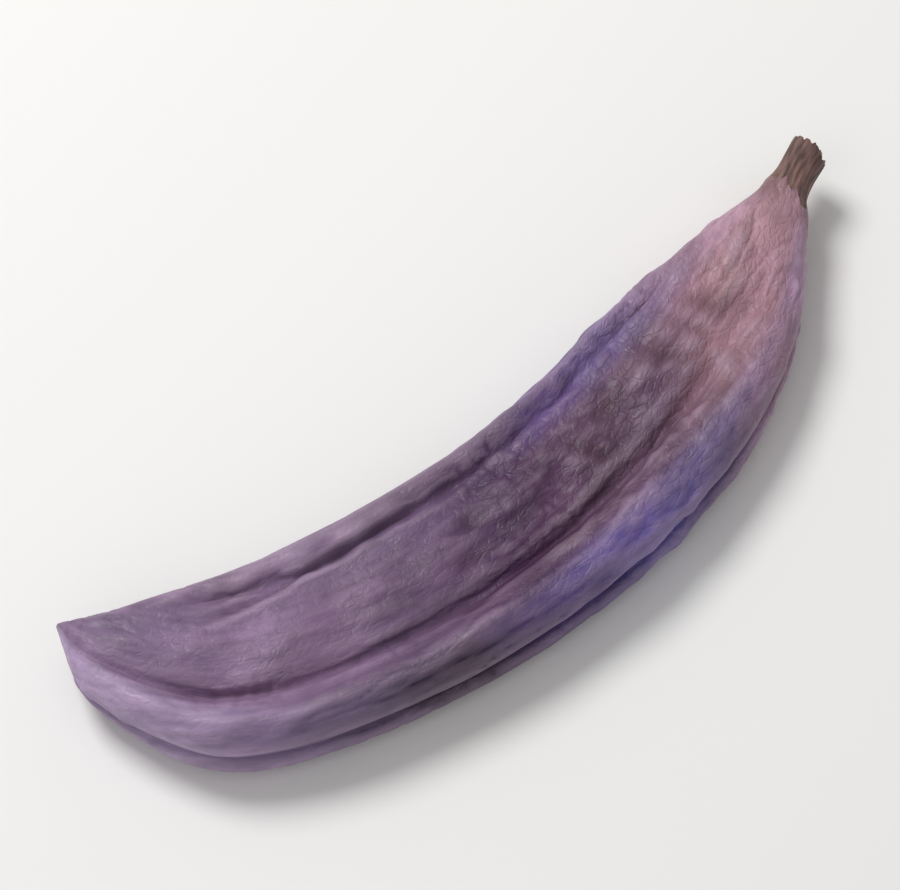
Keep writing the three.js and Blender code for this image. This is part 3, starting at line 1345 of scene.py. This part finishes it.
@dataclass
class CarobPod:
    """The pod with its stump of stalk, as one closed skin."""

    form: PodForm = PodForm()
    skin_relief: DriedSkinRelief = DriedSkinRelief()
    stalk_relief: StalkRelief = StalkRelief()
    ridge_tint_and_painted_light: RidgeTintAndPaintedLight = RidgeTintAndPaintedLight()

    # Fineness of the grid, and the rows by the torn end that give the stalk's heading
    body_rows: int = 456
    end_rows: int = 10
    columns: int = 208
    heading_rows: int = 8

    # Rows and columns that creases and crests are measured over, the depth that creases start at, and the
    # depths and heights that count as full
    crease_reach: int = 3
    crease_from: float = 0.08
    crease_full: float = 0.26
    crest_full: float = 0.16
    dip_full: float = 0.4

    def rows(self) -> tuple[np.ndarray, np.ndarray]:
        """Share out the rows, with the closing rows of the torn end last.

        Returns:
            Share of the length and opening of each row.
        """
        along = np.linspace(0, 1, self.body_rows)
        closing = np.linspace(1, 0, self.end_rows)[1:]
        along = np.concatenate([along, np.ones(len(closing))])
        opening = np.concatenate([np.ones(self.body_rows), closing])
        return along, opening

    @staticmethod
    def normals(place: np.ndarray) -> np.ndarray:
        """Find the outward directions of a grid that is closed round its columns.

        Args:
            place: places of the grid.

        Returns:
            A direction of unit length at each place.
        """
        down = np.gradient(place, axis=0)
        side = np.roll(place, -1, axis=1) - np.roll(place, 1, axis=1)
        outward = np.cross(side, down)
        size = np.linalg.norm(outward, axis=-1, keepdims=True)
        return outward / np.maximum(size, LEAST_LENGTH)

    @staticmethod
    def blurred(place: np.ndarray, reach: int) -> np.ndarray:
        """Even a grid out.

        Args:
            place: places of the grid.
            reach: number of rows and columns each way that count.

        Returns:
            The average place round each place.
        """
        total = sum(np.roll(place, step, axis=1) for step in range(-reach, reach + 1)) / (2 * reach + 1)
        padded = np.concatenate([total[:1]] * reach + [total] + [total[-1:]] * reach)
        rows = len(place)
        return sum(padded[step:step + rows] for step in range(2 * reach + 1)) / (2 * reach + 1)

    @staticmethod
    def by_vertex(values: np.ndarray) -> np.ndarray:
        """Values of a grid in the mesh's order, with its first and last rows as single points."""
        return np.concatenate([values[:1, 0], values[1:-1].reshape(-1, *values.shape[2:]), values[-1:, 0]])

    def skin(self) -> tuple[SkinGrid, np.ndarray]:
        """Lay out the skin with all its relief.

        Returns:
            The smooth grid and the finished places in millimetres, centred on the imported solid.
        """
        along, opening = self.rows()
        grid = self.form.grid(along, opening, self.columns)
        low, high = grid.place.min(axis=(0, 1)), grid.place.max(axis=(0, 1))
        box = [np.array(corner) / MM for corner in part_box(NODE)]
        shift = (box[0] + box[1] - low - high) / 2 * (1, 1, 0)
        place = grid.place + shift
        raised = self.skin_relief.height(grid, self.form) + self.stalk_relief.height(grid, self.form)
        place = place + self.normals(place) * raised[..., None]
        last = self.body_rows - 1
        heading = place[last].mean(axis=0) - place[last - self.heading_rows].mean(axis=0)
        heading = heading / np.linalg.norm(heading)
        place = place + self.stalk_relief.tear(grid)[..., None] * heading
        place[..., 2] = np.maximum(place[..., 2], 0)
        return grid, place

    def faces(self, rows: int) -> tuple[list[tuple[int, ...]], list[int]]:
        """Join the vertices of the closed grid, whose first and last rows are single points.

        Rows are counted from the one after the tip's point.

        Args:
            rows: number of rows between the two end points.

        Returns:
            Corner numbers of each face, and the number of its finish.
        """
        faces, zones = [], []
        tip, end = 0, rows * self.columns + 1
        # The torn end starts at the body's last row
        torn_row = self.body_rows - 2
        for column in range(self.columns):
            after = (column + 1) % self.columns
            stalk_row = self.stalk_relief.bark_from(column / self.columns) * (self.body_rows - 1)
            faces.append((tip, 1 + after, 1 + column))
            zones.append(Zone.POD.value)
            for row in range(rows - 1):
                top, below = 1 + row * self.columns, 1 + (row + 1) * self.columns
                faces.append((top + column, top + after, below + after, below + column))
                stalk = Zone.TORN_END if row >= torn_row else Zone.STALK
                zones.append(Zone.POD.value if row < stalk_row else stalk.value)
            last = 1 + (rows - 1) * self.columns
            faces.append((end, last + column, last + after))
            zones.append(Zone.TORN_END.value)
        return faces, zones

    def build(self) -> bpy.types.Object:
        """Make the pod's mesh, with the values that its finishes read.

        Returns:
            The pod, not yet dressed.
        """
        grid, place = self.skin()
        hollow = np.sum((self.blurred(place, self.crease_reach) - place) * self.normals(place), axis=-1)
        dips = self.skin_relief.dips(grid, self.form) / self.dip_full
        marks = {
            # Concavity: darkens the creases' colour as painted shade, and dulls their gloss
            Mark.CREASE: smoothstep(hollow, self.crease_from, self.crease_full),
            # Convex crests and low bumps: painted paler, partly as wear and partly as painted highlight
            Mark.CREST: np.clip(-hollow / self.crest_full - np.minimum(dips, 0), 0, 1),
            # Dent depth: darkens the dents' colour as painted shade
            Mark.DIP: np.clip(dips, 0, 1),
            Mark.BLOOM: self.ridge_tint_and_painted_light.share(grid),
        }
        faces, zones = self.faces(len(place) - 2)
        mesh = bpy.data.meshes.new(NODE)
        mesh.from_pydata((self.by_vertex(place) * MM).tolist(), [], faces)
        mesh.polygons.foreach_set("material_index", zones)
        mesh.shade_smooth()
        held = mesh.attributes.new(Mark.PLACE.value, "FLOAT_VECTOR", "POINT")
        held.data.foreach_set("vector", self.by_vertex(grid.straight).ravel())
        for mark, values in marks.items():
            held = mesh.attributes.new(mark.value, "FLOAT", "POINT")
            held.data.foreach_set("value", self.by_vertex(values))
        mesh.validate()
        pod = bpy.data.objects.new("carob_pod_skin", mesh)
        bpy.context.scene.collection.objects.link(pod)
        return pod

    def dress(self, pod: bpy.types.Object) -> None:
        """Give the pod its finishes, in the order of their zones."""
        for material in (DriedPodSkin().make(self.form), StalkBark().make(), TornWood().make()):
            pod.data.materials.append(material)

    def place(self) -> bpy.types.Object:
        """Build and dress the pod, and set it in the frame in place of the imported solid.

        Returns:
            The finished pod.
        """
        pod = self.build()
        self.dress(pod)
        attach(pod, BODY)
        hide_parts(NODE)
        LOG.info("%s: %d faces", pod.name, len(pod.data.polygons))
        return pod


def direction(azimuth: float, elevation: float) -> Vector:
    """Direction from the pod to a camera or light, in degrees: 0 is in front, 90 to the right."""
    a, e = math.radians(azimuth), math.radians(elevation)
    return Vector((math.sin(a) * math.cos(e), -math.cos(a) * math.cos(e), math.sin(e)))


@dataclass(frozen=True)
class SoftBox:
    """A soft studio light, in degrees, metres and watts."""

    name: str
    azimuth: float
    elevation: float
    distance: float
    size: float
    power: float
    colour: str = "#ffffff"

    def build(self) -> bpy.types.Object:
        """Make the light, facing the pod.

        Returns:
            The light.
        """
        data = bpy.data.lights.new(self.name, "AREA")
        data.shape = "DISK"
        data.size = self.size
        data.energy = self.power
        data.color = linear(self.colour)[:3]
        light = bpy.data.objects.new(self.name, data)
        towards = direction(self.azimuth, self.elevation)
        light.location = towards * self.distance
        light.rotation_euler = towards.to_track_quat("Z", "Y").to_euler()
        bpy.context.scene.collection.objects.link(light)
        return light


@dataclass
class Studio:
    """Plain pale floor, soft light, and the camera looking down on the pod."""

    lights: tuple[SoftBox, ...] = (
        SoftBox("key_light", azimuth=192, elevation=54, distance=0.7, size=0.3, power=3.1),
        SoftBox("fill_light", azimuth=-70, elevation=40, distance=0.9, size=0.8, power=0.9),
    )

    # Even light from all round, and the floor in metres
    sky: str = "#ffffff"
    sky_strength: float = 0.4
    floor_size: float = 6.0
    floor_drop: float = 0.02 * MM

    # Camera: its angles in degrees, its lens and sensor in millimetres, and the share that the pod fills
    azimuth: float = -34.0
    elevation: float = 62.0
    lens: float = 200.0
    sensor: float = 36.0
    fill: float = 0.86

    def build_floor(self) -> bpy.types.Object:
        """Make the floor, a hair below the pod's flats.

        Returns:
            The floor.
        """
        half = self.floor_size / 2
        corners = [(-half, -half), (half, -half), (half, half), (-half, half)]
        mesh = bpy.data.meshes.new("floor")
        mesh.from_pydata([(x, y, -self.floor_drop) for x, y in corners], [], [(0, 1, 2, 3)])
        mesh.materials.append(SeamlessPaper().make())
        floor = bpy.data.objects.new("floor", mesh)
        bpy.context.scene.collection.objects.link(floor)
        return floor

    def build_sky(self) -> None:
        """Light the scene evenly from all round."""
        world = bpy.data.worlds.new("studio")
        world.use_nodes = True
        background = world.node_tree.nodes["Background"]
        background.inputs["Color"].default_value = linear(self.sky)
        background.inputs["Strength"].default_value = self.sky_strength
        bpy.context.scene.world = world

    def build_camera(self, pod: bpy.types.Object) -> bpy.types.Object:
        """Make the camera, framed on the pod's outline.

        Args:
            pod: the piece that the picture shows.

        Returns:
            The camera.
        """
        back = direction(self.azimuth, self.elevation)
        turn = back.to_track_quat("Z", "Y")
        right, up = turn @ Vector((1, 0, 0)), turn @ Vector((0, 1, 0))
        points = np.array([vertex.co for vertex in pod.data.vertices])
        spread = [points @ np.array(axis) for axis in (right, up, back)]
        middle = [(values.min() + values.max()) / 2 for values in spread]
        width, tall = (np.ptp(values) for values in spread[:2])
        view = max(width, tall * PICTURE_SIZE[0] / PICTURE_SIZE[1]) / self.fill
        data = bpy.data.cameras.new("camera")
        data.lens = self.lens
        data.sensor_width = self.sensor
        camera = bpy.data.objects.new("camera", data)
        aim = right * middle[0] + up * middle[1] + back * middle[2]
        camera.location = aim + back * (view * self.lens / self.sensor)
        camera.rotation_euler = turn.to_euler()
        bpy.context.scene.collection.objects.link(camera)
        bpy.context.scene.camera = camera
        return camera

    def build(self, pod: bpy.types.Object) -> None:
        """Set up the floor, the light and the camera round the pod.

        Args:
            pod: the piece that the picture shows.
        """
        self.build_floor()
        self.build_sky()
        for light in self.lights:
            light.build()
        self.build_camera(pod)
        bpy.context.scene.view_settings.view_transform = "Standard"
        LOG.info("studio: %d lights", len(self.lights))


def main() -> None:
    """Build the pod and its studio."""
    logging.basicConfig(level=logging.INFO, format="%(name)s: %(message)s")
    pod = CarobPod().place()
    Studio().build(pod)


if __name__ == "__main__":
    main()
